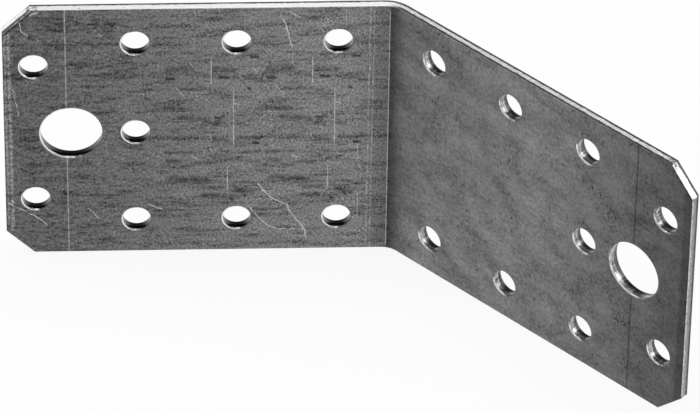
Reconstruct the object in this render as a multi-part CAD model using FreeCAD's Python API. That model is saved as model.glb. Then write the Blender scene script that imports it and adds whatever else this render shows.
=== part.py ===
import FreeCAD, Part
import math
import os

# An obtuse angle bracket: one steel sheet, punched flat and folded once.
# All sizes are in millimetres. The fold runs along +Z and the bracket stands on a side edge.
# Flange A lies along -X and flange B turns away from it, both with their hollow side towards -Y.

# Sheet and fold
SHEET = 2.0               # thickness
WIDTH = 55.0              # along the fold
FLANGE = 70.0             # outer corner of the fold to a free end
ANGLE = 135.0             # between the flanges, on the hollow side, in degrees
INNER_RADIUS = 2.5        # of the fold, on the hollow side
CORNER_CUT = 5.0          # leg of the 45 degree cut at a free corner

# Holes, placed by the metal that is left between a rim and its neighbour
NAIL_HOLE = 5.0           # diameter
BOLT_HOLE = 11.0          # diameter
END_PAIR_END_WEB = 3.0    # free end to the pair of nail holes there
END_PAIR_SIDE_WEB = 10.0  # side edge to that pair
BOLT_END_WEB = 6.5        # free end to the bolt hole
MIDDLE_WEB = 3.5          # bolt hole to the nail hole behind it
ROW_SIDE_WEB = 5.0        # side edge to a row of nail holes
ROW_PITCH = 18.0          # between the nail holes of a row
FOLD_WEB = 3.0            # least distance from a row to the fold

# Edges, drawn in where the punch and the blanking die entered the sheet
RIM_ROLL = 0.35           # hole rims on the hollow side, outwards from the hole
RIM_DEPTH = 0.25          # the same, down into the sheet
BLANK_ROLL = 0.30         # radius of the outline on the outer side

TOUCHING = 1e-6           # two points closer than this are one point

# Worked out from the sizes above
TURN = math.radians(180.0 - ANGLE)
OUTER_RADIUS = INNER_RADIUS + SHEET
FOLD_REACH = OUTER_RADIUS * math.tan(TURN / 2)
HALF_WIDTH = WIDTH / 2

UP = FreeCAD.Vector(0, 0, 1)
CORNER = FreeCAD.Vector(0, 0, 0)
ALONG_A = FreeCAD.Vector(-1, 0, 0)
OUT_OF_A = FreeCAD.Vector(0, 1, 0)
ALONG_B = FreeCAD.Vector(math.cos(TURN), -math.sin(TURN), 0)
OUT_OF_B = FreeCAD.Vector(math.sin(TURN), math.cos(TURN), 0)
FOLD_CENTRE = ALONG_A * FOLD_REACH - OUT_OF_A * OUTER_RADIUS


def side_line(depth):
    """Edges of one side of the section, from flange A to flange B, at a depth below the outer side."""
    radius = OUTER_RADIUS - depth
    to_corner = (CORNER - FOLD_CENTRE).normalize()
    end_a = ALONG_A * FLANGE - OUT_OF_A * depth
    end_b = ALONG_B * FLANGE - OUT_OF_B * depth
    fold_a = FOLD_CENTRE + OUT_OF_A * radius
    fold_b = FOLD_CENTRE + OUT_OF_B * radius
    return [
        Part.LineSegment(end_a, fold_a).toShape(),
        Part.Arc(fold_a, FOLD_CENTRE + to_corner * radius, fold_b).toShape(),
        Part.LineSegment(fold_b, end_b).toShape(),
    ]


def end_line(along, out):
    """Edge of the section across the sheet at a free end."""
    outer = along * FLANGE
    return Part.LineSegment(outer, outer - out * SHEET).toShape()


def folded_sheet():
    """The section, with its arcs about one centre, carried along the fold."""
    ends = [end_line(ALONG_A, OUT_OF_A), end_line(ALONG_B, OUT_OF_B)]
    edges = side_line(0.0) + side_line(SHEET) + ends
    section = Part.Wire(Part.sortEdges(edges)[0])
    return Part.Face(section).extrude(UP * WIDTH)


def on_flange_b(along, across, depth):
    """A point of flange B, by its distance from the outer corner, from mid-width and from the outer side."""
    return ALONG_B * along + UP * (HALF_WIDTH + across) - OUT_OF_B * depth


def on_both_flanges(tools):
    """The tools of flange B with their mirror images on flange A."""
    return tools + [tool.mirror(CORNER, ALONG_B - ALONG_A) for tool in tools]


def corner_cutter(side):
    """A wedge that takes a free corner of flange B off at 45 degrees, on the upper (1) or lower (-1) side."""
    past = CORNER_CUT
    outline = [
        (FLANGE - CORNER_CUT - past, HALF_WIDTH + past),
        (FLANGE + past, HALF_WIDTH + past),
        (FLANGE + past, HALF_WIDTH - CORNER_CUT - past),
    ]
    corners = [on_flange_b(along, side * across, -SHEET) for along, across in outline]
    return Part.Face(Part.makePolygon(corners + corners[:1])).extrude(OUT_OF_B * -3 * SHEET)


def hole_plan():
    """Distance from the outer corner, place across the width and radius of each hole of a flange."""
    nail = NAIL_HOLE / 2
    bolt = BOLT_HOLE / 2
    bolt_along = FLANGE - BOLT_END_WEB - bolt
    pair_along = FLANGE - END_PAIR_END_WEB - nail
    middle_along = bolt_along - bolt - MIDDLE_WEB - nail
    pair_across = HALF_WIDTH - END_PAIR_SIDE_WEB - nail
    row_across = HALF_WIDTH - ROW_SIDE_WEB - nail
    row_room = middle_along - nail - FOLD_REACH - FOLD_WEB
    row_count = 1 + int(row_room / ROW_PITCH)
    plan = [(bolt_along, 0.0, bolt), (middle_along, 0.0, nail)]
    for side in (1, -1):
        plan.append((pair_along, side * pair_across, nail))
        for step in range(row_count):
            plan.append((middle_along - step * ROW_PITCH, side * row_across, nail))
    return plan


def punch(along, across, radius):
    """A round punch through flange B, and the cone of metal drawn in round it where it enters."""
    inwards = OUT_OF_B * -1
    through = Part.makeCylinder(radius, 3 * SHEET, on_flange_b(along, across, -SHEET), inwards)
    foot = on_flange_b(along, across, SHEET - RIM_DEPTH)
    mouth = Part.makeCone(radius, radius + 2 * RIM_ROLL, 2 * RIM_DEPTH, foot, inwards)
    return [through, mouth]


def outer_outline(solid):
    """Edges of the solid between its outer side and the cut edges round it."""
    skin = Part.Wire(side_line(0.0)).extrude(UP * WIDTH)
    skin_faces = []
    for face in solid.Faces:
        if all(skin.distToShape(corner)[0] < TOUCHING for corner in face.Vertexes):
            skin_faces.append(face)
    return Part.Shell(skin_faces).getFreeEdges().Edges


def standing(solid):
    """The solid with the middle of its box over the origin and its lower edge at height zero."""
    box = solid.optimalBoundingBox(False, False)
    return solid.translated(FreeCAD.Vector(-box.Center.x, -box.Center.y, -box.ZMin))


def bracket():
    """The folded sheet with its corners cut, its outline rounded by the die and its holes punched."""
    blank = folded_sheet().cut(on_both_flanges([corner_cutter(1), corner_cutter(-1)]))
    blank = blank.makeFillet(BLANK_ROLL, outer_outline(blank))
    punches = []
    for hole in hole_plan():
        punches += punch(*hole)
    return standing(blank.cut(on_both_flanges(punches)))


os.makedirs("parts", exist_ok=True)
bracket().exportStep("parts/bracket.step")
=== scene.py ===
import math

import bmesh
import bpy
import numpy as np
from mathutils import Matrix, Vector

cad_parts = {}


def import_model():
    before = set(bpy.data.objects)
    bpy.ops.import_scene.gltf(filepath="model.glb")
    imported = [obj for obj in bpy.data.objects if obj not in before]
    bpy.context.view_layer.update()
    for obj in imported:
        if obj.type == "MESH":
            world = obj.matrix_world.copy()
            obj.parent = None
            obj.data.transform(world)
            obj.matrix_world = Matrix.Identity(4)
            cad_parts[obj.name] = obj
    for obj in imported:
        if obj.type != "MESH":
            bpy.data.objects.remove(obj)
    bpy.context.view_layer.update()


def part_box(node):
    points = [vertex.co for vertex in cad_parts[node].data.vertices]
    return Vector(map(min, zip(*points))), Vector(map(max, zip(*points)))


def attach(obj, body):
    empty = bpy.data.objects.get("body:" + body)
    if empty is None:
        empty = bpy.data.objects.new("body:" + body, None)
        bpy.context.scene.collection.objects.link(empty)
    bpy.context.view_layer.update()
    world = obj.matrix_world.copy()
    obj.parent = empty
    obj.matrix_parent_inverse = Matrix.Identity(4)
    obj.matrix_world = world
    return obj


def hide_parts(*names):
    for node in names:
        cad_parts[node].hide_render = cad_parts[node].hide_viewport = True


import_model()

# A galvanised obtuse angle bracket: one sheet, punched flat and folded once.
# It stands on a side edge, with the hollow side towards the camera (-Y).
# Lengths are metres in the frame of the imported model. Patterns are drawn in millimetres.

MM = 0.001

# Sheet and fold, as the CAD solid has them; only the fold is rounder, as the photograph shows it
SHEET = 2.0 * MM
FLANGE = 70.0 * MM               # outer corner of the fold to a free end
TURN = math.radians(45.0)
INNER_RADIUS = 4.0 * MM          # 2.5 mm in the CAD solid
CORNER_CUT = 5.0 * MM
OUTER_RADIUS = INNER_RADIUS + SHEET
FOLD_REACH = OUTER_RADIUS * math.tan(TURN / 2)

# Holes, by distance from the outer corner and from mid-width
NAIL = 2.5 * MM                  # radius
BOLT = 5.5 * MM                  # radius
BOLT_ALONG = 58.0 * MM
MIDDLE_ALONG = 46.5 * MM
PAIR_ALONG = 64.5 * MM
PAIR_ACROSS = 15.0 * MM
ROW_ACROSS = 20.0 * MM
ROW_PITCH = 18.0 * MM

# Edges
RIM_ROLL = 0.26 * MM             # hole rims on the hollow side, outwards from the hole
RIM_DEPTH = 0.20 * MM            # the same, down into the sheet
BLANK_ROLL = 0.30 * MM           # radius of the outline on the outer side
EDGE_BREAK = 0.18 * MM           # radius of the outline on the hollow side
BREAKOUT = 0.16 * MM             # holes open by this much where the punch tears through
TORN_SHARE = 0.6                 # of the sheet's thickness, which tears instead of being cut
TOUCHING = 1e-7                  # two points closer than this are one point

# Divisions of the surface
COLUMN_STEPS = (17, 18, 13, 20)  # along a flange, from the fold to the free end
HALF_STEPS = 28                  # across half the width
SPLIT_STEPS = 10                 # from mid-width to the joint between a middle cell and its neighbours
CUT_START_STEPS = 15             # along the side edge, up to the corner cut
CUT_STEPS = 7                    # along the corner cut
CELL_ROWS = 9                    # from a hole to the border of its cell
CELL_CROWDING = 1.5              # power by which those rows crowd towards the hole
FOLD_STEPS = 14                  # round the fold
BREAK_STEPS = 3                  # round the outline's edge on the hollow side
ROLL_STEPS = 6                   # round a hole's rim, and round the outline's edge on the outer side
WALL_STEPS = 9                   # through the sheet
SHARP_FROM = math.radians(40.0)  # edges that turn by more are sharp

low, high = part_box("bracket")
HALF = (high[2] - low[2]) / 2
CORNER = np.array([low[0] + FLANGE, high[1], low[2] + HALF])
UP = np.array([0.0, 0.0, 1.0])
ALONG = {"a": np.array([-1.0, 0.0, 0.0]), "b": np.array([math.cos(TURN), -math.sin(TURN), 0.0])}
OUTWARD = {"a": np.array([0.0, 1.0, 0.0]), "b": np.array([math.sin(TURN), math.cos(TURN), 0.0])}
SIGN = {"a": -1.0, "b": 1.0}     # of the developed length, which is zero in the middle of the fold
FOLD_CENTRE = CORNER + FOLD_REACH * ALONG["a"] - OUTER_RADIUS * OUTWARD["a"]

SPLIT = HALF * SPLIT_STEPS / HALF_STEPS
COLUMNS = (
    FOLD_REACH,
    MIDDLE_ALONG - 1.5 * ROW_PITCH,
    MIDDLE_ALONG - 0.5 * ROW_PITCH,
    (MIDDLE_ALONG + NAIL + BOLT_ALONG - BOLT) / 2,
    FLANGE,
)

# Outline of a flange in the flat: outward normal and offset of each side
SLANT = math.sqrt(0.5)
SIDE_NORMALS = np.array([[0, 1], [0, -1], [1, 0], [SLANT, SLANT], [SLANT, -SLANT]])
CUT_OFFSET = (FLANGE + HALF - CORNER_CUT) * SLANT
SIDE_OFFSETS = np.array([HALF, HALF, FLANGE, CUT_OFFSET, CUT_OFFSET])

# Finishes, in the order of the piece's material slots
SKIN, SHEARED, PUNCHED, RIM_AND_HIGHLIGHT = 0, 1, 2, 3
OUTER_SIDE_SHIFT = 0.2           # of the outer side's pattern, so that the two sides differ
EDGE_START = 0.1                 # of the length along the outline, as the sheared edge's pattern counts it
WALL_START = 0.7                 # of the length round a hole, as the wall's pattern counts it
WALL_SPREAD = 7.0                # by which that start moves on with a hole's place, so that no two walls are alike

# Lengths along the outline in millimetres: half a free end, a corner cut, and the fold to a free end's middle
END_REACH = (HALF - CORNER_CUT) / MM
CUT_LENGTH = CORNER_CUT * math.sqrt(2) / MM
END_MIDDLE = (EDGE_START + FLANGE - CORNER_CUT - FOLD_REACH) / MM + CUT_LENGTH + END_REACH


def on_flange(flange, flat, depth):
    """The outer corner, plus a distance along the flange, plus a distance across, less a depth outwards."""
    along = flat[..., 0:1] * ALONG[flange]
    across = flat[..., 1:2] * UP
    return CORNER + along + across - np.asarray(depth)[..., None] * OUTWARD[flange]


def on_fold(turned, across, depth):
    """The fold's centre, plus the outer radius less a depth in a direction, plus a distance across.

    The direction turns from flange A's outward one to flange B's."""
    direction = np.stack([np.sin(turned), np.cos(turned), np.zeros_like(turned)], axis=-1)
    return FOLD_CENTRE + (OUTER_RADIUS - depth)[..., None] * direction + across[..., None] * UP


def inset(flat, distance):
    """Points on the outline move inwards by a distance, and at a corner along its mitre; other points stay.

    The mitre is the sum of the two normals over one plus their cosine."""
    touching = np.abs(flat @ SIDE_NORMALS.T - SIDE_OFFSETS) < TOUCHING
    push = touching @ SIDE_NORMALS
    at_corner = touching.sum(axis=-1, keepdims=True) > 1
    return flat - distance * push / np.where(at_corner, 1 + SLANT, 1.0)


def walk(corners, steps):
    """Straight runs from corner to corner, each divided evenly."""
    starts, ends = corners[:-1], corners[1:]
    runs = [np.linspace(a, b, n, endpoint=False) for a, b, n in zip(starts, ends, steps)]
    return np.concatenate(runs + [np.array(corners[-1:])])


def plain_cell(column, low_across, high_across, steps):
    """Border of a rectangle of the flange."""
    near, far = COLUMNS[column], COLUMNS[column + 1]
    corners = [(near, low_across), (far, low_across), (far, high_across), (near, high_across), (near, low_across)]
    return walk(corners, (COLUMN_STEPS[column], steps, COLUMN_STEPS[column], steps))


def corner_cell(side):
    """Border of a free corner of the flange, with its corner cut."""
    near = COLUMNS[3]
    corners = [
        (near, SPLIT),
        (FLANGE, SPLIT),
        (FLANGE, HALF - CORNER_CUT),
        (FLANGE - CORNER_CUT, HALF),
        (near, HALF),
        (near, SPLIT),
    ]
    straight = HALF_STEPS - SPLIT_STEPS
    end_steps = straight - CUT_STEPS // 2
    steps = (COLUMN_STEPS[3], end_steps, CUT_STEPS, CUT_START_STEPS, straight)
    return walk(corners, steps) * np.array([1.0, side])


def hole_cells():
    """Each hole of a flange as (border of its cell, centre, radius)."""
    outer_steps = HALF_STEPS - SPLIT_STEPS
    cells = [
        (plain_cell(3, -SPLIT, SPLIT, 2 * SPLIT_STEPS), (BOLT_ALONG, 0.0), BOLT),
        (plain_cell(2, -SPLIT, SPLIT, 2 * SPLIT_STEPS), (MIDDLE_ALONG, 0.0), NAIL),
    ]
    for side in (1, -1):
        cells.append((corner_cell(side), (PAIR_ALONG, side * PAIR_ACROSS), NAIL))
        third = plain_cell(2, side * SPLIT, side * HALF, outer_steps)
        cells.append((third, (MIDDLE_ALONG, side * ROW_ACROSS), NAIL))
        for column in (0, 1):
            row_along = MIDDLE_ALONG - (2 - column) * ROW_PITCH
            row = plain_cell(column, 0.0, side * HALF, HALF_STEPS)
            cells.append((row, (row_along, side * ROW_ACROSS), NAIL))
    return [(border, np.array(centre), radius) for border, centre, radius in cells]


def flange_outline():
    """The outline of a flange in the flat, from the fold's lower end round the free end to its upper end."""
    lower = [(along, -HALF) for along in COLUMNS[:4]]
    lower += [(FLANGE - CORNER_CUT, -HALF), (FLANGE, CORNER_CUT - HALF), (FLANGE, -SPLIT)]
    corners = lower + [(along, -across) for along, across in reversed(lower)]
    end_steps = HALF_STEPS - SPLIT_STEPS - CUT_STEPS // 2
    steps = COLUMN_STEPS[:3] + (CUT_START_STEPS, CUT_STEPS, end_steps)
    return walk(corners, steps + (2 * SPLIT_STEPS,) + steps[::-1])


def quarter_round(steps):
    """Sine and versed cosine of a quarter turn, from (1, 0) to (0, 1): a rounded edge of unit size."""
    turned = np.linspace(0, math.pi / 2, steps + 1)
    return 1 - np.sin(turned), 1 - np.cos(turned)


class Surface:
    """Grids of points that are welded into one closed mesh, each with its pattern coordinates and finish."""

    def __init__(self):
        self.points, self.pattern, self.faces, self.finish = [], [], [], []
        self.count = 0

    def add(self, points, pattern, finish):
        rows, columns = points.shape[:2]
        index = self.count + np.arange(rows * columns).reshape(rows, columns)
        quads = np.stack([index[:-1, :-1], index[:-1, 1:], index[1:, 1:], index[1:, :-1]], axis=-1)
        self.points.append(points.reshape(-1, 3))
        self.pattern.append(np.broadcast_to(pattern, (rows, columns, 2)).reshape(-1, 2))
        self.faces.append(quads.reshape(-1, 4))
        self.finish.append(np.full(quads.size // 4, finish))
        self.count += rows * columns

    def piece(self, name, finishes):
        points, faces = np.concatenate(self.points), np.concatenate(self.faces)
        mesh = bpy.data.meshes.new(name)
        mesh.from_pydata(points.tolist(), [], faces.tolist())
        layer = mesh.uv_layers.new(name="developed")
        layer.data.foreach_set("uv", np.concatenate(self.pattern)[faces.ravel()].ravel())
        mesh.polygons.foreach_set("material_index", np.concatenate(self.finish))
        mesh.polygons.foreach_set("use_smooth", np.ones(len(faces), dtype=bool))
        welded = bmesh.new()
        welded.from_mesh(mesh)
        bmesh.ops.remove_doubles(welded, verts=welded.verts, dist=TOUCHING)
        bmesh.ops.recalc_face_normals(welded, faces=welded.faces)
        welded.to_mesh(mesh)
        welded.free()
        mesh.set_sharp_from_angle(angle=SHARP_FROM)
        for finish in finishes:
            mesh.materials.append(finish)
        obj = bpy.data.objects.new(name, mesh)
        bpy.context.scene.collection.objects.link(obj)
        return obj


def developed(flange, flat, outer):
    """Pattern coordinates of a flange: signed length from the fold, and place across.

    The outer side's are moved on across."""
    shift = np.array([0.0, OUTER_SIDE_SHIFT if outer else 0.0])
    return flat * np.array([SIGN[flange], 1.0]) + shift


def add_hole(surface, flange, border, centre, radius):
    """A hole in its cell: both sides of the sheet, the drawn-in rim and the wall.

    Each side is a straight blend from the hole's circle to the cell's border, seen from the hole's centre.
    The rim and the wall are a profile of (distance from the wall, depth) carried round the circle."""
    bearing = border - centre
    ray = bearing / np.linalg.norm(bearing, axis=-1, keepdims=True)
    blend = np.linspace(0, 1, CELL_ROWS + 1)[:, None, None] ** CELL_CROWDING
    for outer, depth, rim, edge in ((False, SHEET, RIM_ROLL, EDGE_BREAK), (True, 0.0, BREAKOUT, BLANK_ROLL)):
        circle = centre + (radius + rim) * ray
        flat = circle + blend * (inset(border, edge) - circle)
        points = on_flange(flange, flat, np.full(flat.shape[:2], depth))
        surface.add(points, developed(flange, flat, outer), SKIN)
    away, sunk = quarter_round(ROLL_STEPS)
    flat = centre + (radius + RIM_ROLL * away[:, None, None]) * ray
    depth = np.repeat((SHEET - RIM_DEPTH * sunk)[:, None], len(ray), axis=1)
    # Each rim point's bearing from the centre, which places the rim's painted highlight
    bearings = np.broadcast_to(developed(flange, ray, False) * MM, flat.shape)
    surface.add(on_flange(flange, flat, depth), bearings, RIM_AND_HIGHLIGHT)
    down = np.linspace(SHEET - RIM_DEPTH, 0.0, WALL_STEPS + 1)
    torn = BREAKOUT * np.clip(1 - down / (TORN_SHARE * SHEET), 0, 1)
    flat = centre + (radius + torn[:, None, None]) * ray
    depth = np.repeat(down[:, None], len(ray), axis=1)
    girth = np.concatenate([[0.0], np.cumsum(np.linalg.norm(np.diff(ray, axis=0), axis=-1))]) * radius
    start = WALL_START + centre.sum() * WALL_SPREAD
    pattern = np.stack(np.broadcast_arrays(SIGN[flange] * (start + girth[None, :]), depth), axis=-1)
    surface.add(on_flange(flange, flat, depth), pattern, PUNCHED)


def edge_profile():
    """The outline's profile as (distance inwards, depth): a quarter round at the hollow side, the straight
    sheared face, and a quarter round at the outer side."""
    away, sunk = quarter_round(BREAK_STEPS)
    front = (EDGE_BREAK * away, SHEET - EDGE_BREAK * sunk)
    face_depth = np.linspace(SHEET - EDGE_BREAK, BLANK_ROLL, WALL_STEPS + 1)
    face = (np.zeros_like(face_depth), face_depth)
    away, sunk = quarter_round(ROLL_STEPS)
    back = (BLANK_ROLL * away[::-1], BLANK_ROLL * sunk[::-1])
    return (front, SKIN), (face, SHEARED), (back, SKIN)


def add_outline(surface):
    """The cut edge round the blank: the edge profile carried along both flanges' outlines and across the fold."""
    path = flange_outline()
    length = np.concatenate([[0.0], np.cumsum(np.linalg.norm(np.diff(path, axis=0), axis=-1))])
    turned = np.linspace(0, TURN, FOLD_STEPS + 1)
    for (inwards, depth), finish in edge_profile():
        for flange in ("a", "b"):
            flat = inset(path[None], inwards[:, None, None])
            deep = np.repeat(depth[:, None], len(path), axis=1)
            pattern = developed(flange, flat, depth[0] < SHEET / 2)
            if finish == SHEARED:
                pattern = np.stack(np.broadcast_arrays(SIGN[flange] * (length[None] + EDGE_START), deep), axis=-1)
            surface.add(on_flange(flange, flat, deep), pattern, finish)
        for side in (1, -1):
            around, deep = np.meshgrid(turned, depth)
            across = np.repeat(side * (HALF - inwards)[:, None], len(turned), axis=1)
            along = (2 * around / TURN - 1) * FOLD_REACH
            sideways = deep if finish == SHEARED else across
            surface.add(on_fold(around, across, deep), np.stack([along, sideways], axis=-1), finish)


def add_fold(surface):
    """Both sides of the fold: an arc about the fold's centre, carried across the width."""
    turned = np.linspace(0, TURN, FOLD_STEPS + 1)
    for outer, depth, edge in ((False, SHEET, EDGE_BREAK), (True, 0.0, BLANK_ROLL)):
        across = np.linspace(-HALF, HALF, 2 * HALF_STEPS + 1)
        across[0] += edge
        across[-1] -= edge
        around, over = np.meshgrid(turned, across)
        along = (2 * around / TURN - 1) * FOLD_REACH
        shift = OUTER_SIDE_SHIFT if outer else 0.0
        pattern = np.stack([along, over + shift], axis=-1)
        surface.add(on_fold(around, over, np.full(around.shape, depth)), pattern, SKIN)


class Finish:
    """A material with a metal shader, and short calls for the nodes of its pattern."""

    def __init__(self, name, **sockets):
        self.material = bpy.data.materials.new(name)
        self.material.use_nodes = True
        self.tree = self.material.node_tree
        self.shader = self.tree.nodes["Principled BSDF"]
        for socket, value in sockets.items():
            self.shader.inputs[socket.replace("_", " ")].default_value = value
        uv = self.node("ShaderNodeUVMap", uv_map="developed")
        self.flat = self.vector("MULTIPLY", uv.outputs[0], (1 / MM, 1 / MM, 0.0))
        split = self.node("ShaderNodeSeparateXYZ")
        self.link(self.flat, split.inputs[0])
        self.along, self.across = split.outputs[0], split.outputs[1]

    def node(self, kind, **settings):
        node = self.tree.nodes.new(kind)
        for key, value in settings.items():
            setattr(node, key, value)
        return node

    def link(self, value, socket):
        if isinstance(value, bpy.types.NodeSocket):
            self.tree.links.new(value, socket)
        else:
            socket.default_value = value

    def vector(self, operation, *values):
        node = self.node("ShaderNodeVectorMath", operation=operation)
        for value, socket in zip(values, node.inputs):
            self.link(value, socket)
        return node.outputs["Value" if operation == "DOT_PRODUCT" else "Vector"]

    def math(self, operation, *values):
        node = self.node("ShaderNodeMath", operation=operation)
        for value, socket in zip(values, node.inputs):
            self.link(value, socket)
        return node.outputs[0]

    def solid(self):
        """Place in the piece, in millimetres."""
        coordinates = self.node("ShaderNodeTexCoord")
        return self.vector("MULTIPLY", coordinates.outputs["Object"], (1 / MM, 1 / MM, 1 / MM))

    def noise(self, stretch, detail=2.0, rough=0.5, seed=0.0, place=None):
        """Cloudy noise from 0 to 1, with stretch features to the millimetre along and across."""
        moved = self.vector("MULTIPLY_ADD", place or self.flat, stretch + (1.0,), (seed, 1.7 * seed, seed))
        node = self.node("ShaderNodeTexNoise", noise_dimensions="3D")
        self.link(moved, node.inputs["Vector"])
        node.inputs["Scale"].default_value = 1.0
        node.inputs["Detail"].default_value = detail
        node.inputs["Roughness"].default_value = rough
        return node.outputs["Fac"]

    def between(self, value, start, end, to_start=0.0, to_end=1.0):
        """A smooth step of a value from to_start to to_end."""
        node = self.node("ShaderNodeMapRange", interpolation_type="SMOOTHSTEP", clamp=False)
        for given, socket in zip((value, start, end, to_start, to_end), node.inputs):
            self.link(given, socket)
        return node.outputs[0]

    def total(self, *values):
        """Sum of values."""
        result = values[0]
        for value in values[1:]:
            result = self.math("ADD", result, value)
        return result

    def largest(self, values):
        """The largest of several values."""
        result = values[0]
        for value in values[1:]:
            result = self.math("MAXIMUM", result, value)
        return result

    def swing(self, value, amount):
        """A noise about zero, times an amount."""
        return self.math("MULTIPLY_ADD", value, amount, -amount / 2)

    def mix(self, share, first, second):
        """First where share is 0, second where it is 1."""
        node = self.node("ShaderNodeMix", data_type="FLOAT")
        for given, socket in zip((share, first, second), (node.inputs[0], node.inputs[2], node.inputs[3])):
            self.link(given, socket)
        return node.outputs[0]

    def stroke(self, place, start, end, width):
        """1 on a straight line from start to end, falling to 0 at half its width."""
        node = self.node("ShaderNodeGroup", node_tree=stroke_group())
        for given, socket in zip((place, start + (0.0,), end + (0.0,), width / 2), node.inputs):
            self.link(given, socket)
        return node.outputs[0]

    def strokes(self, place, lines):
        """1 on any of several broken lines, each given as its width and its corners."""
        result = 0.0
        for width, corners in lines:
            for start, end in zip(corners[:-1], corners[1:]):
                result = self.math("MAXIMUM", self.stroke(place, start, end, width), result)
        return result

    def relief(self, height, distance):
        """Bump from a height of 0 to 1, with that full height in metres."""
        node = self.node("ShaderNodeBump")
        node.inputs["Strength"].default_value = 1.0
        node.inputs["Distance"].default_value = distance
        self.link(height, node.inputs["Height"])
        self.link(node.outputs[0], self.shader.inputs["Normal"])


def stroke_group():
    """Node group: distance from a place to a straight line between two points, as a mask."""
    if "stroke" in bpy.data.node_groups:
        return bpy.data.node_groups["stroke"]
    tree = bpy.data.node_groups.new("stroke", "ShaderNodeTree")
    for name, kind in (("Place", "Vector"), ("Start", "Vector"), ("End", "Vector"), ("Half width", "Float")):
        tree.interface.new_socket(name, in_out="INPUT", socket_type="NodeSocket" + kind)
    tree.interface.new_socket("Mask", in_out="OUTPUT", socket_type="NodeSocketFloat")
    given = tree.nodes.new("NodeGroupInput")
    result = tree.nodes.new("NodeGroupOutput")

    def vector(operation, first, second):
        node = tree.nodes.new("ShaderNodeVectorMath")
        node.operation = operation
        tree.links.new(first, node.inputs[0])
        tree.links.new(second, node.inputs["Scale" if operation == "SCALE" else 1])
        return node.outputs["Value" if operation in ("DOT_PRODUCT", "DISTANCE") else "Vector"]

    run = vector("SUBTRACT", given.outputs["End"], given.outputs["Start"])
    reach = vector("SUBTRACT", given.outputs["Place"], given.outputs["Start"])
    dots = vector("DOT_PRODUCT", reach, run), vector("DOT_PRODUCT", run, run)
    divide, at_least, at_most = (tree.nodes.new("ShaderNodeMath") for step in range(3))
    divide.operation, at_least.operation, at_most.operation = "DIVIDE", "MAXIMUM", "MINIMUM"
    at_least.inputs[1].default_value, at_most.inputs[1].default_value = 0.0, 1.0
    tree.links.new(dots[0], divide.inputs[0])
    tree.links.new(dots[1], divide.inputs[1])
    tree.links.new(divide.outputs[0], at_least.inputs[0])
    tree.links.new(at_least.outputs[0], at_most.inputs[0])
    distance = vector("DISTANCE", reach, vector("SCALE", run, at_most.outputs[0]))
    fall = tree.nodes.new("ShaderNodeMapRange")
    fall.interpolation_type, fall.clamp = "SMOOTHSTEP", False
    fall.inputs["To Min"].default_value, fall.inputs["To Max"].default_value = 1.0, 0.0
    tree.links.new(distance, fall.inputs["Value"])
    tree.links.new(given.outputs["Half width"], fall.inputs["From Max"])
    tree.links.new(fall.outputs[0], result.inputs[0])
    return tree


# Marks on the hollow side in millimetres, as (length from the fold, place across); flange A counts negative.
# Each is a width and the corners of a line.
# The press feeds the sheet by a row pitch, so flange A has one set of marks twice: in the cell between
# CELL_START and CELL_END, and again in the next one towards the fold.
FEED_STEP = ROW_PITCH / MM
CELL_START, CELL_END = -41.6, -23.6
FEED_LINES = (
    (0.30, [(-33.1, 16.4), (-33.1, 10.7)]),
    (0.30, [(-29.1, 9.5), (-29.1, -3.7)]),
    (0.30, [(-30.2, -8.3), (-30.2, -13.5)]),
    (0.20, [(-36.9, 15.5), (-36.3, 14.6)]),
    (0.20, [(-39.6, 10.2), (-38.0, 8.0)]),
    (0.36, [(-36.6, -5.7), (-35.6, -6.3)]),
    (0.26, [(-29.1, 6.2), (-28.0, 6.0)]),
    (0.26, [(-35.4, 2.1), (-34.9, 1.9)]),
    (0.24, [(-33.4, -0.8), (-32.9, -2.2)]),
)
FEED_DASHES = (
    (1.3, [(-41.4, 5.3), (-36.8, 5.1)]),
    (1.1, [(-40.6, 7.0), (-38.0, 7.0)]),
    (1.8, [(-33.0, -1.9), (-30.3, -2.2)]),
    (3.0, [(-40.0, -10.9), (-34.2, -11.2)]),
    (3.2, [(-40.4, 13.8), (-37.0, 14.2)]),
    (2.6, [(-32.4, 14.0), (-29.0, 13.6)]),
    (1.5, [(-34.5, -13.1), (-31.2, -13.0)]),
    (1.4, [(-34.8, -14.8), (-32.0, -14.6)]),
    (1.2, [(-28.4, -1.8), (-24.2, -1.6)]),
    (1.2, [(-27.8, -5.0), (-24.4, -4.7)]),
    (1.2, [(-41.2, -4.9), (-36.4, -4.8)]),
    (1.6, [(-32.4, 1.4), (-31.0, 3.2)]),
    (1.8, [(-40.9, -6.8), (-38.8, -6.8)]),
    (2.0, [(-28.2, -14.0), (-26.0, -14.4)]),
    (2.0, [(-38.4, 3.2), (-33.6, 2.6)]),
)
FEED_DOTS = (
    (1.2, [(-41.0, 11.9), (-39.8, 11.9)]),
    (1.2, [(-31.6, 12.2), (-30.2, 12.1)]),
    (1.2, [(-26.4, 9.6), (-26.3, 9.5)]),
    (1.0, [(-25.6, -2.8), (-24.8, -2.8)]),
    (1.0, [(-29.6, -15.6), (-29.3, -15.8)]),
    (1.0, [(-32.3, 3.0), (-31.5, 2.8)]),
    (0.9, [(-26.0, 16.6), (-24.8, 16.6)]),
    (0.9, [(-27.2, -14.8), (-26.9, -15.0)]),
)
LIGHT_LINES = (
    (0.34, [(-58.9, 27.5), (-58.8, -27.5)]),
    (0.26, [(-6.9, -3.6), (-6.9, -7.5), (-6.1, -9.6)]),
    (0.24, [(-6.8, -14.5), (-6.8, -20.1)]),
    (0.24, [(-9.3, 27.0), (-9.3, 23.2)]),
    (0.34, [(-64.9, 27.4), (-69.9, 22.4)]),
)
END_LINES = (
    (1.0, [(-68.9, 22.5), (-68.8, -22.0)]),
    (0.6, [(-69.6, 22.0), (-69.5, -21.0)]),
)
DOTTED_LINES = (
    (0.50, [(-5.0, 27.5), (-5.2, -27.5)]),
    (0.36, [(-4.3, 27.5), (-4.5, -27.5)]),
)
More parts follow.
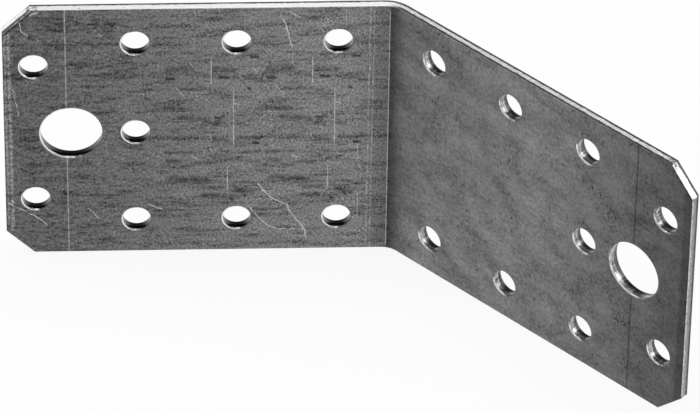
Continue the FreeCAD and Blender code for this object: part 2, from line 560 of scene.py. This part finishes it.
# A painted highlight where the curved fold reflects the light, drawn like a mark
FOLD_HIGHLIGHT = (
    (0.34, [(-1.0, 26.4), (-1.0, -26.4)]),
)
SCRATCHES = (
    (0.42, [(-24.6, -12.3), (-22.7, -15.3), (-19.6, -17.0), (-18.9, -18.8), (-16.2, -23.0)]),
    (0.36, [(-26.5, -17.1), (-24.9, -19.7), (-23.1, -21.8), (-21.1, -22.8), (-16.2, -23.0), (-16.1, -24.8)]),
    (0.30, [(-69.4, -16.0), (-67.4, -17.4), (-64.2, -19.5), (-62.6, -21.2)]),
    (0.30, [(-66.9, 24.8), (-66.6, 23.2), (-65.5, 21.9)]),
    (0.30, [(-55.3, -17.5), (-54.2, -18.5), (-53.3, -19.9)]),
    (0.34, [(-44.4, -16.7), (-41.9, -17.9)]),
    (0.28, [(-20.8, 26.0), (-19.9, 23.5), (-19.3, 21.0), (-18.7, 18.7)]),
    (0.26, [(-19.4, 26.7), (-17.4, 25.5)]),
    (0.18, [(-68.3, 10.4), (-67.3, 4.0)]),
    (0.50, [(-65.0, 26.5), (-63.6, 27.2)]),
)
DARK_LINES = (
    (0.60, [(57.7, 27.5), (57.7, -27.5)]),
    (0.55, [(-64.6, 27.1), (-69.6, 22.1)]),
    (0.95, [(-65.0, 26.8), (-66.4, 25.4)]),
)
DARK_MARKS = (
    (0.40, [(57.7, 11.3), (61.7, 10.3)]),
    (0.40, [(11.4, 5.2), (11.4, 2.3)]),
    (0.36, [(16.0, 12.1), (16.0, 9.8)]),
    (0.30, [(17.0, 23.7), (17.0, 17.9)]),
    (0.60, [(0.6, 9.0), (0.9, 8.4)]),
    (0.60, [(1.3, 0.7), (1.8, 0.4)]),
    (0.90, [(13.8, 25.3), (13.9, 24.9)]),
    (0.80, [(17.4, -15.9), (17.5, -16.2)]),
    (0.80, [(35.8, 23.7), (35.9, 23.4)]),
    (0.50, [(-22.6, 15.6), (-24.3, 11.4)]),
)
# Where specks crowd together on flange B, given like the other marks
DIRT = (
    (10.0, [(54.0, -8.0), (56.0, -13.0)]),
    (9.0, [(51.5, 12.0), (53.0, 6.0)]),
    (4.0, [(57.2, -21.0), (57.2, -24.0)]),
    (3.0, [(11.0, 12.0), (11.4, 6.0)]),
)

# Greys of the finishes, as shares of white
ZINC_A_AND_PAINTED_LIGHT = (0.124, 0.228)          # flange A, at its free end and near the fold; the rise between them is painted light
ZINC_A_FOLD_SHADE = 0.085               # painted shade, by which it falls again in the last millimetres before the fold
ZINC_B_AND_PAINTED_SHEEN = (0.185, 0.085)          # flange B, halfway along and at its free end; the brighter middle is a painted sheen
B_END_BAND = 0.64                # of flange B's grey, left in the band along its free end
FOLD_SHADE = 0.60                   # painted shade: the share of the zinc's grey lost in the fold
BARE = 0.66                      # metal laid bare by a light mark, and the painted highlight along the fold
DARKEST = 0.02                   # least grey of zinc and hole walls
SIDE_A = (0.83, 0.97)            # sheared edge of flange A, near the free end and near the fold
SIDE_B = 0.67                    # sheared edge of flange B
CUT_GREY_AND_LIGHT = 0.95                       # sheared corner cuts: their own grey, raised by painted light
FREE_END = (0.20, 0.38)          # sheared free ends, towards the back and towards the front
RUBBED_END = 0.60                # the rubbed line along a free end's front
DARK_BACK_AND_LIP = 0.06                  # dark band along the cut's back, partly zinc and partly a painted dark reflection, and a thin dark lip at the front
WALL_A_SHADE = 0.045                   # hole walls of flange A, darkened as painted shade
WALL_B = (0.38, 0.10)            # hole walls of flange B, where cut and where torn
RIM_DULL = 0.17                  # hole rims' own grey, away from their painted highlight
RIM_HIGHLIGHT = {"a": 0.92, "b": 0.85}  # painted highlight on each rim's side towards the light

# Roughness and relief of the finishes
ZINC_ROUGHNESS = (0.08, 0.42)    # share of the tone, and what it adds to
SHEARED_ROUGHNESS = (0.2, 0.3)   # share of the streaks, and what it adds to
WALL_A_ROUGHNESS = (0.20, 0.32)  # hole walls of flange A, where cut and where torn
WALL_B_ROUGHNESS = 0.37
RIM_ROUGHNESS = (0.50, 0.32)     # hole rims, away from and on their painted highlight
ZINC_RELIEF = 0.006 * MM
SHEARED_RELIEF = 0.01 * MM
WALL_RELIEF = 0.012 * MM

HAIR_SLANT = math.radians(52.0)  # of the fine scratches on flange A, down to the right
HIGHLIGHT_SIDE = {                  # side of each hole's rim that gets the painted highlight, as a direction along and across
    "a": (-0.97, -0.24, 0.0),
    "b": (-0.70, -0.71, 0.0),
}
HIGHLIGHT_SHORTER_ON_B = 0.50               # by which the painted highlight is shorter on flange B


def rolled_tone(zinc):
    """Lighter and darker zinc on flange A: grain, smudges and dashes along the rolling direction, light flecks,
    fine slanted scratches, and blotches towards the free end.

    The smudges are read on a circle of one feed step's girth, so that they come round once each step;
    past the middle hole the circle is lifted, which gives another pattern."""
    angle = zinc.math("MULTIPLY", zinc.along, 2 * math.pi / FEED_STEP)
    radius = FEED_STEP / (2 * math.pi)
    ring = zinc.node("ShaderNodeCombineXYZ")
    lift = zinc.between(zinc.along, CELL_START, CELL_START - 4.0, 0.0, 9.0)
    zinc.link(zinc.math("MULTIPLY_ADD", zinc.math("COSINE", angle), radius, lift), ring.inputs[0])
    zinc.link(zinc.across, ring.inputs[1])
    zinc.link(zinc.math("MULTIPLY", zinc.math("SINE", angle), radius), ring.inputs[2])

    def rolled(along, across, detail, rough, seed):
        place = zinc.vector("MULTIPLY", ring.outputs[0], (along, across, along))
        return zinc.noise((1.0, 1.0), detail, rough, seed, place)

    grain = zinc.noise((2.6, 1.9), detail=3.0, rough=0.8, seed=3.0)
    smudge = zinc.between(rolled(0.16, 0.85, 3.0, 0.65, 11.0), 0.44, 0.70)
    dash = zinc.between(rolled(0.75, 2.0, 2.0, 0.5, 41.0), 0.60, 0.72)
    fleck = zinc.between(zinc.noise((3.6, 3.4), detail=1.0, seed=47.0), 0.62, 0.72)
    crowd = zinc.between(zinc.noise((0.20, 0.30), detail=2.0, seed=49.0), 0.46, 0.66, 0.2, 2.2)
    slanted = zinc.node("ShaderNodeVectorRotate", rotation_type="Z_AXIS")
    zinc.link(zinc.flat, slanted.inputs["Vector"])
    slanted.inputs["Angle"].default_value = HAIR_SLANT
    hair = zinc.between(zinc.noise((0.55, 4.0), detail=1.0, seed=71.0, place=slanted.outputs[0]), 0.68, 0.76)
    blotch = zinc.swing(zinc.noise((0.7, 1.5), detail=2.0, rough=0.6, seed=77.0), 1.9)
    parts = [zinc.swing(grain, 3.7), zinc.math("MULTIPLY", zinc.math("MAXIMUM", fleck, hair), crowd),
             zinc.math("MULTIPLY", blotch, zinc.between(zinc.along, -42.0, -54.0))]
    for mask, amount in ((smudge, -0.55), (dash, -0.26)):
        parts.append(zinc.math("MULTIPLY", mask, amount))
    return zinc.total(*parts)


def mottled_tone(zinc):
    """Lighter and darker zinc on flange B: soft clouds, fine grain, specks drawn out across it, and dirt."""
    grain = zinc.noise((1.5, 1.4), detail=3.0, rough=0.8, seed=31.0)
    cloud = zinc.noise((0.16, 0.22), detail=3.0, rough=0.6, seed=23.0)
    dirt = zinc.strokes(zinc.flat, DIRT)
    speck = zinc.math("MULTIPLY_ADD", dirt, 0.04, zinc.noise((1.7, 0.8), detail=1.0, seed=53.0))
    speck = zinc.between(speck, 0.65, 0.73)
    crowd = zinc.between(zinc.noise((0.12, 0.12), detail=1.0, seed=59.0), 0.42, 0.62, -0.20, -0.75)
    crowd = zinc.math("MULTIPLY_ADD", dirt, -0.2, crowd)
    specks = zinc.math("MULTIPLY", speck, crowd)
    soil = zinc.between(zinc.noise((2.0, 1.6), detail=2.0, rough=0.6, seed=73.0), 0.50, 0.64, 0.0, -0.55)
    return zinc.total(zinc.swing(grain, 2.4), zinc.swing(cloud, 1.8), specks, zinc.math("MULTIPLY", soil, dirt))


def zinc_skin():
    """Dull galvanised skin: rolled flange A, mottled flange B, painted shade and a painted highlight in the fold,
    and marks of press and handling.
    """
    zinc = Finish("galvanised_skin", Metallic=0.9)
    on_b = zinc.between(zinc.along, -0.6, 1.2)
    tone = zinc.mix(on_b, rolled_tone(zinc), mottled_tone(zinc))

    # The zinc's grey holds painted light: on flange A it rises to the fold, then dips as painted shade;
    # on flange B it peaks halfway as a painted sheen, darker in a band at the free end; the fold has painted shade
    level_a = zinc.math("SUBTRACT", zinc.between(zinc.along, -75.0, -12.0, *ZINC_A_AND_PAINTED_LIGHT),
                        zinc.between(zinc.along, -8.0, -1.3, 0.0, ZINC_A_FOLD_SHADE))
    # Flange B's grey peaks halfway along as a painted sheen
    level_b = zinc.math("MULTIPLY", zinc.between(zinc.along, 34.0, 73.0, *ZINC_B_AND_PAINTED_SHEEN),
                        zinc.between(zinc.along, 68.0, 68.8, 1.0, B_END_BAND))
    level = zinc.mix(on_b, level_a, level_b)
    # Painted shade in the fold and the first millimetres of flange B
    fold_shade_mask = zinc.math("MULTIPLY", zinc.between(zinc.along, -1.0, -0.7), zinc.between(zinc.along, 4.5, 0.2))
    level = zinc.math("MULTIPLY", level, zinc.math("MULTIPLY_ADD", fold_shade_mask, -FOLD_SHADE, 1.0))
    shade = zinc.math("MULTIPLY_ADD", level, tone, level)

    # Marks: the fed ones in their cell, the others wandering a little; all fade in and out
    fed_along = zinc.math("WRAP", zinc.along, CELL_END, CELL_START)
    fed = zinc.node("ShaderNodeCombineXYZ")
    zinc.link(fed_along, fed.inputs[0])
    zinc.link(zinc.across, fed.inputs[1])
    in_cells = zinc.math("MULTIPLY", zinc.math("GREATER_THAN", zinc.along, CELL_START),
                         zinc.math("LESS_THAN", zinc.along, CELL_END + FEED_STEP))
    wobble = zinc.node("ShaderNodeTexNoise", noise_dimensions="2D")
    zinc.link(zinc.flat, wobble.inputs["Vector"])
    wobble.inputs["Scale"].default_value = 0.9
    shake = zinc.vector("MULTIPLY_ADD", wobble.outputs["Color"], (0.6, 0.6, 0.0), (-0.3, -0.3, 0.0))
    shaken = zinc.vector("ADD", zinc.flat, shake)
    fed_shaken = zinc.vector("ADD", fed.outputs[0], shake)
    patchy = zinc.noise((0.9, 0.9), detail=2.0, seed=61.0)
    fade = zinc.between(patchy, 0.30, 0.60, 0.25, 1.0)
    dotted = zinc.between(zinc.noise((2.6, 1.5), detail=2.0, rough=0.7, seed=67.0), 0.42, 0.66, 0.08, 0.70)
    light = zinc.largest([
        zinc.math("MULTIPLY", zinc.strokes(fed.outputs[0], FEED_LINES), zinc.math("MULTIPLY", in_cells, 0.8)),
        zinc.math("MULTIPLY", zinc.strokes(zinc.flat, LIGHT_LINES), 0.6),
        zinc.math("MULTIPLY", zinc.strokes(zinc.flat, DOTTED_LINES), dotted),
        zinc.strokes(shaken, SCRATCHES),
    ])
    # The line along the fold is a painted highlight, mixed in with the light marks
    fold_highlight = zinc.math("MULTIPLY", zinc.strokes(zinc.flat, FOLD_HIGHLIGHT),
                          zinc.between(patchy, 0.3, 0.7, 0.35, 0.8))
    light = zinc.math("MAXIMUM", zinc.math("MULTIPLY", light, fade), fold_highlight)
    dark = zinc.math("MAXIMUM", zinc.math("MULTIPLY", zinc.strokes(fed_shaken, FEED_DASHES), in_cells),
                     zinc.strokes(shaken, DARK_MARKS))
    dark = zinc.math("MULTIPLY", dark, zinc.between(patchy, 0.30, 0.60, 0.25, 0.60))
    ruled = zinc.math("MULTIPLY", zinc.strokes(zinc.flat, DARK_LINES),
                      zinc.between(patchy, 0.30, 0.60, 0.42, 0.68))
    dark = zinc.math("MAXIMUM", dark, ruled)
    dots = zinc.math("MULTIPLY", zinc.strokes(fed.outputs[0], FEED_DOTS), zinc.math("MULTIPLY", in_cells, 0.85))
    dark = zinc.math("MAXIMUM", dark, dots)
    shade = zinc.math("MULTIPLY", shade, zinc.math("SUBTRACT", 1.0, dark))
    rubbed = zinc.strokes(shaken, END_LINES)
    shade = zinc.math("MULTIPLY", shade, zinc.math("MULTIPLY_ADD", rubbed, 1.3, 1.0))
    shade = zinc.mix(light, shade, BARE)
    zinc.link(zinc.math("MAXIMUM", shade, DARKEST), zinc.shader.inputs["Base Color"])
    zinc.link(zinc.math("MULTIPLY_ADD", tone, *ZINC_ROUGHNESS), zinc.shader.inputs["Roughness"])
    zinc.relief(zinc.math("SUBTRACT", tone, light), ZINC_RELIEF)
    return zinc.material


def sheared_face():
    """Bright sheared steel round the blank, brightest on the corner cuts, partly by painted light; free ends are
    greyer and rougher.

    The corner cuts are torn where they meet the side edges. The back is dark except on flange A's cuts, partly
    zinc and partly a painted dark reflection, and a thin dark lip is at the front of flange B's side edges and of
    flange A's cuts."""
    steel = Finish("sheared_edge", Metallic=0.2, Specular_IOR_Level=0.15)
    streak = steel.noise((0.35, 5.0), detail=3.0, rough=0.6, seed=5.0)
    nick = steel.between(steel.noise((1.2, 1.6), detail=2.0, seed=9.0), 0.62, 0.74)
    torn = steel.noise((1.3, 2.2), detail=3.0, rough=0.7, seed=15.0)
    grain = steel.noise((1.1, 4.2), detail=3.0, rough=0.8, seed=25.0)
    far = steel.math("ABSOLUTE", steel.math("SUBTRACT", steel.math("ABSOLUTE", steel.along), END_MIDDLE))
    at_end = steel.between(far, END_REACH, END_REACH - 0.4)
    at_cut = steel.math("MULTIPLY", steel.between(far, END_REACH - 0.2, END_REACH + 0.2),
                        steel.between(far, END_REACH + CUT_LENGTH + 0.1, END_REACH + CUT_LENGTH - 0.4))
    on_b = steel.between(steel.along, -2.0, 2.0)
    on_a_cut = steel.math("MULTIPLY", at_cut, steel.math("SUBTRACT", 1.0, on_b))
    on_side = steel.math("MULTIPLY_ADD", at_end, -1.0, 1.0)

    level_a = steel.between(far, 25.0, 85.0, *SIDE_A)
    # The corner cuts' whiter grey is partly painted light
    shade = steel.mix(at_cut, steel.mix(on_b, level_a, SIDE_B), CUT_GREY_AND_LIGHT)
    shade = steel.mix(at_end, shade, steel.between(steel.across, 0.5, 1.4, *FREE_END))
    rough = steel.math("MULTIPLY", steel.swing(streak, 0.5), steel.math("MULTIPLY_ADD", on_b, 1.4, 1.0))
    grain = steel.math("MULTIPLY", steel.swing(grain, 1.3), steel.math("MULTIPLY_ADD", on_b, 1.0, 0.5))
    rough = steel.total(rough, grain, steel.math("MULTIPLY", steel.swing(torn, 1.8), at_end))
    shade = steel.math("MULTIPLY_ADD", rough, shade, shade)
    shade = steel.math("MULTIPLY", shade, steel.math("MULTIPLY_ADD", nick, -0.35, 1.0))
    from_cut = steel.math("ABSOLUTE", steel.math("SUBTRACT", far, END_REACH + CUT_LENGTH))
    spoiled = steel.math("MULTIPLY", steel.between(from_cut, 1.9, 0.5),
                         steel.between(torn, 0.42, 0.56, 0.0, -0.80))
    shade = steel.math("MULTIPLY_ADD", spoiled, shade, shade)

    depth = steel.total(steel.across, steel.swing(streak, 0.4), steel.swing(torn, 0.5))
    # The dark back band is partly zinc and partly a painted dark reflection
    back = steel.math("MULTIPLY", steel.between(depth, 0.75, 0.50), steel.math("SUBTRACT", 1.0, on_a_cut))
    lipped = steel.math("MULTIPLY", on_b, steel.math("SUBTRACT", 1.0, at_cut))
    lipped = steel.math("MULTIPLY", steel.math("MAXIMUM", lipped, on_a_cut), on_side)
    lip = steel.math("MULTIPLY", steel.between(depth, 1.28, 1.44), lipped)
    rubbed = steel.math("MULTIPLY", steel.between(depth, 1.40, 1.60), at_end)
    worn = steel.math("MULTIPLY_ADD", steel.swing(torn, 2.6), RUBBED_END, RUBBED_END)
    shade = steel.mix(rubbed, steel.math("MINIMUM", shade, CUT_GREY_AND_LIGHT), worn)
    shade = steel.mix(steel.math("MAXIMUM", back, lip), shade, DARK_BACK_AND_LIP)
    steel.link(shade, steel.shader.inputs["Base Color"])
    steel.link(steel.math("MULTIPLY_ADD", streak, *SHEARED_ROUGHNESS), steel.shader.inputs["Roughness"])
    steel.relief(steel.total(streak, steel.math("MULTIPLY", torn, at_end)), SHEARED_RELIEF)
    return steel.material


def punched_wall():
    """Wall of a punched hole: streaked through the sheet, ringed along it, with a few bright scores.

    It is rubbed to bare steel on flange B, and near black on flange A as painted shade."""
    steel = Finish("punched_wall", Metallic=1.0)
    streak = steel.noise((2.2, 0.35), detail=3.0, rough=0.6, seed=7.0)
    ring = steel.noise((0.25, 2.6), detail=2.0, rough=0.5, seed=17.0)
    score = steel.between(steel.noise((1.0, 0.15), detail=1.0, seed=27.0), 0.66, 0.74)
    on_b = steel.math("GREATER_THAN", steel.along, 0.0)
    torn = steel.between(steel.total(steel.across, steel.swing(streak, 0.8)), 1.1, 0.7)
    # Flange A's walls are near black as painted shade
    level = steel.mix(on_b, WALL_A_SHADE, steel.mix(torn, *WALL_B))
    rough = steel.total(steel.swing(streak, 3.2), steel.swing(ring, 2.4))
    shade = steel.math("MULTIPLY_ADD", rough, level, level)
    shade = steel.math("MULTIPLY_ADD", score, 0.30, steel.math("MAXIMUM", shade, DARKEST))
    steel.link(shade, steel.shader.inputs["Base Color"])
    on_a_rough = steel.mix(torn, *WALL_A_ROUGHNESS)
    steel.link(steel.mix(on_b, on_a_rough, WALL_B_ROUGHNESS), steel.shader.inputs["Roughness"])
    steel.relief(steel.total(streak, ring), WALL_RELIEF)
    return steel.material


def rim_with_highlight():
    """Hole rims: their own dull grey, with a painted highlight on the side towards the light."""
    steel = Finish("rim_with_highlight", Metallic=1.0)
    place = steel.solid()
    split = steel.node("ShaderNodeSeparateXYZ")
    steel.link(place, split.inputs[0])
    on_b = steel.math("GREATER_THAN", split.outputs[0], CORNER[0] / MM)
    worn = steel.noise((1.1, 1.1), detail=2.0, seed=13.0, place=place)
    toward_highlight_a = steel.vector("DOT_PRODUCT", steel.flat, HIGHLIGHT_SIDE["a"])
    toward_highlight_b = steel.vector("DOT_PRODUCT", steel.flat, HIGHLIGHT_SIDE["b"])
    # How far each point of a rim lies towards its painted highlight, broken up by noise
    toward_highlight = steel.total(steel.mix(on_b, toward_highlight_a, toward_highlight_b), steel.swing(worn, 1.6))
    rubbed = steel.between(steel.math("MULTIPLY_ADD", on_b, -HIGHLIGHT_SHORTER_ON_B, toward_highlight), -0.2, 0.6)
    highlight_grey = steel.mix(on_b, RIM_HIGHLIGHT["a"], RIM_HIGHLIGHT["b"])
    steel.link(steel.mix(rubbed, RIM_DULL, highlight_grey), steel.shader.inputs["Base Color"])
    steel.link(steel.mix(rubbed, *RIM_ROUGHNESS), steel.shader.inputs["Roughness"])
    return steel.material


def bracket_piece():
    """The folded sheet as one closed surface."""
    surface = Surface()
    for flange in ("a", "b"):
        for border, centre, radius in hole_cells():
            add_hole(surface, flange, border, centre, radius)
    add_fold(surface)
    add_outline(surface)
    finishes = [zinc_skin(), sheared_face(), punched_wall(), rim_with_highlight()]
    piece = surface.piece("bracket_sheet", finishes)
    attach(piece, "root")
    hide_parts("bracket")
    return piece


# Stage
FLOOR_HALF = 4.0
FLOOR_COLOUR = (0.9, 0.9, 0.9, 1.0)
FLOOR_ROUGHNESS = 0.9
FLOOR_WHITE = 0.90               # share of plain white in what the camera and glossy surfaces see of the floor
HORIZON_LIGHT, SKY_LIGHT = 1.0, 0.03
HORIZON_HEIGHT = 0.25            # sine of the elevation at which the sky is dim
SOFTBOXES = (                    # name, place, side and power in watts; all face the origin
    ("overhead", (-0.05, 0.10, 0.75), 0.5, 3.8),
    ("left", (-0.70, 0.12, 0.45), 0.3, 1.6),
    ("front", (-0.12, -0.75, 0.72), 0.40, 2.0),
    ("right", (0.68, -0.04, 0.42), 0.36, 2.1),
)


def seen(tree):
    """1 for the rays that show a background: from the camera, or by way of gloss or glass."""
    path = tree.nodes.new("ShaderNodeLightPath")
    first = tree.nodes.new("ShaderNodeMath")
    second = tree.nodes.new("ShaderNodeMath")
    first.operation = second.operation = "MAXIMUM"
    tree.links.new(path.outputs["Is Camera Ray"], first.inputs[0])
    tree.links.new(path.outputs["Is Glossy Ray"], first.inputs[1])
    tree.links.new(first.outputs[0], second.inputs[0])
    tree.links.new(path.outputs["Is Transmission Ray"], second.inputs[1])
    return second.outputs[0]


def floor():
    """A plain pale floor that keeps the object's shadow."""
    mesh = bpy.data.meshes.new("floor")
    reach = FLOOR_HALF
    corners = [(-reach, -reach, 0), (reach, -reach, 0), (reach, reach, 0), (-reach, reach, 0)]
    mesh.from_pydata(corners, [], [(0, 1, 2, 3)])
    material = bpy.data.materials.new("pale_floor")
    material.use_nodes = True
    tree = material.node_tree
    shader = tree.nodes["Principled BSDF"]
    shader.inputs["Base Color"].default_value = FLOOR_COLOUR
    shader.inputs["Roughness"].default_value = FLOOR_ROUGHNESS
    white = tree.nodes.new("ShaderNodeEmission")
    share = tree.nodes.new("ShaderNodeMath")
    share.operation = "MULTIPLY"
    share.inputs[1].default_value = FLOOR_WHITE
    tree.links.new(seen(tree), share.inputs[0])
    blend = tree.nodes.new("ShaderNodeMixShader")
    tree.links.new(share.outputs[0], blend.inputs[0])
    tree.links.new(shader.outputs[0], blend.inputs[1])
    tree.links.new(white.outputs[0], blend.inputs[2])
    tree.links.new(blend.outputs[0], tree.nodes["Material Output"].inputs["Surface"])
    mesh.materials.append(material)
    obj = bpy.data.objects.new("floor", mesh)
    bpy.context.scene.collection.objects.link(obj)


def world():
    """A white horizon that falls to a dim sky, as round a studio sweep."""
    sky = bpy.data.worlds.new("studio")
    sky.use_nodes = True
    tree = sky.node_tree
    direction = tree.nodes.new("ShaderNodeTexCoord")
    split = tree.nodes.new("ShaderNodeSeparateXYZ")
    fall = tree.nodes.new("ShaderNodeMapRange")
    fall.interpolation_type = "SMOOTHSTEP"
    tree.links.new(direction.outputs["Generated"], split.inputs[0])
    tree.links.new(split.outputs[2], fall.inputs["Value"])
    fall.inputs["From Max"].default_value = HORIZON_HEIGHT
    fall.inputs["To Min"].default_value = HORIZON_LIGHT
    fall.inputs["To Max"].default_value = SKY_LIGHT
    background = tree.nodes["Background"]
    background.inputs["Color"].default_value = (1, 1, 1, 1)
    tree.links.new(fall.outputs[0], background.inputs["Strength"])
    bpy.context.scene.world = sky


def softbox(name, place, size, power):
    """A square soft light at a place, turned to face the origin."""
    lamp = bpy.data.lights.new(name, "AREA")
    lamp.shape = "SQUARE"
    lamp.size = size
    lamp.energy = power
    obj = bpy.data.objects.new(name, lamp)
    obj.location = place
    obj.rotation_euler = (-Vector(place)).to_track_quat("-Z", "Y").to_euler()
    bpy.context.scene.collection.objects.link(obj)


# Camera, as the photograph was taken: on the hollow side, from well above, with a long lens
EYE = Vector((-42.0, -898.0, 764.0)) * MM
AIM = Vector((1.1, 0.0, 28.85)) * MM
ROLL = math.radians(0.95)        # of the picture, clockwise
LENS, SENSOR = 340.0, 36.0       # focal length and sensor width in millimetres


def camera():
    """A level camera at the eye, turned to the aim and then rolled about its own axis."""
    lens = bpy.data.cameras.new("camera")
    lens.lens = LENS
    lens.sensor_width = SENSOR
    obj = bpy.data.objects.new("camera", lens)
    turned = (AIM - EYE).to_track_quat("-Z", "Y").to_matrix() @ Matrix.Rotation(ROLL, 3, "Z")
    obj.matrix_world = Matrix.Translation(EYE) @ turned.to_4x4()
    bpy.context.scene.collection.objects.link(obj)
    bpy.context.scene.camera = obj


bracket_piece()
floor()
world()
for lamp_settings in SOFTBOXES:
    softbox(*lamp_settings)
camera()
bpy.context.scene.view_settings.view_transform = "Standard"
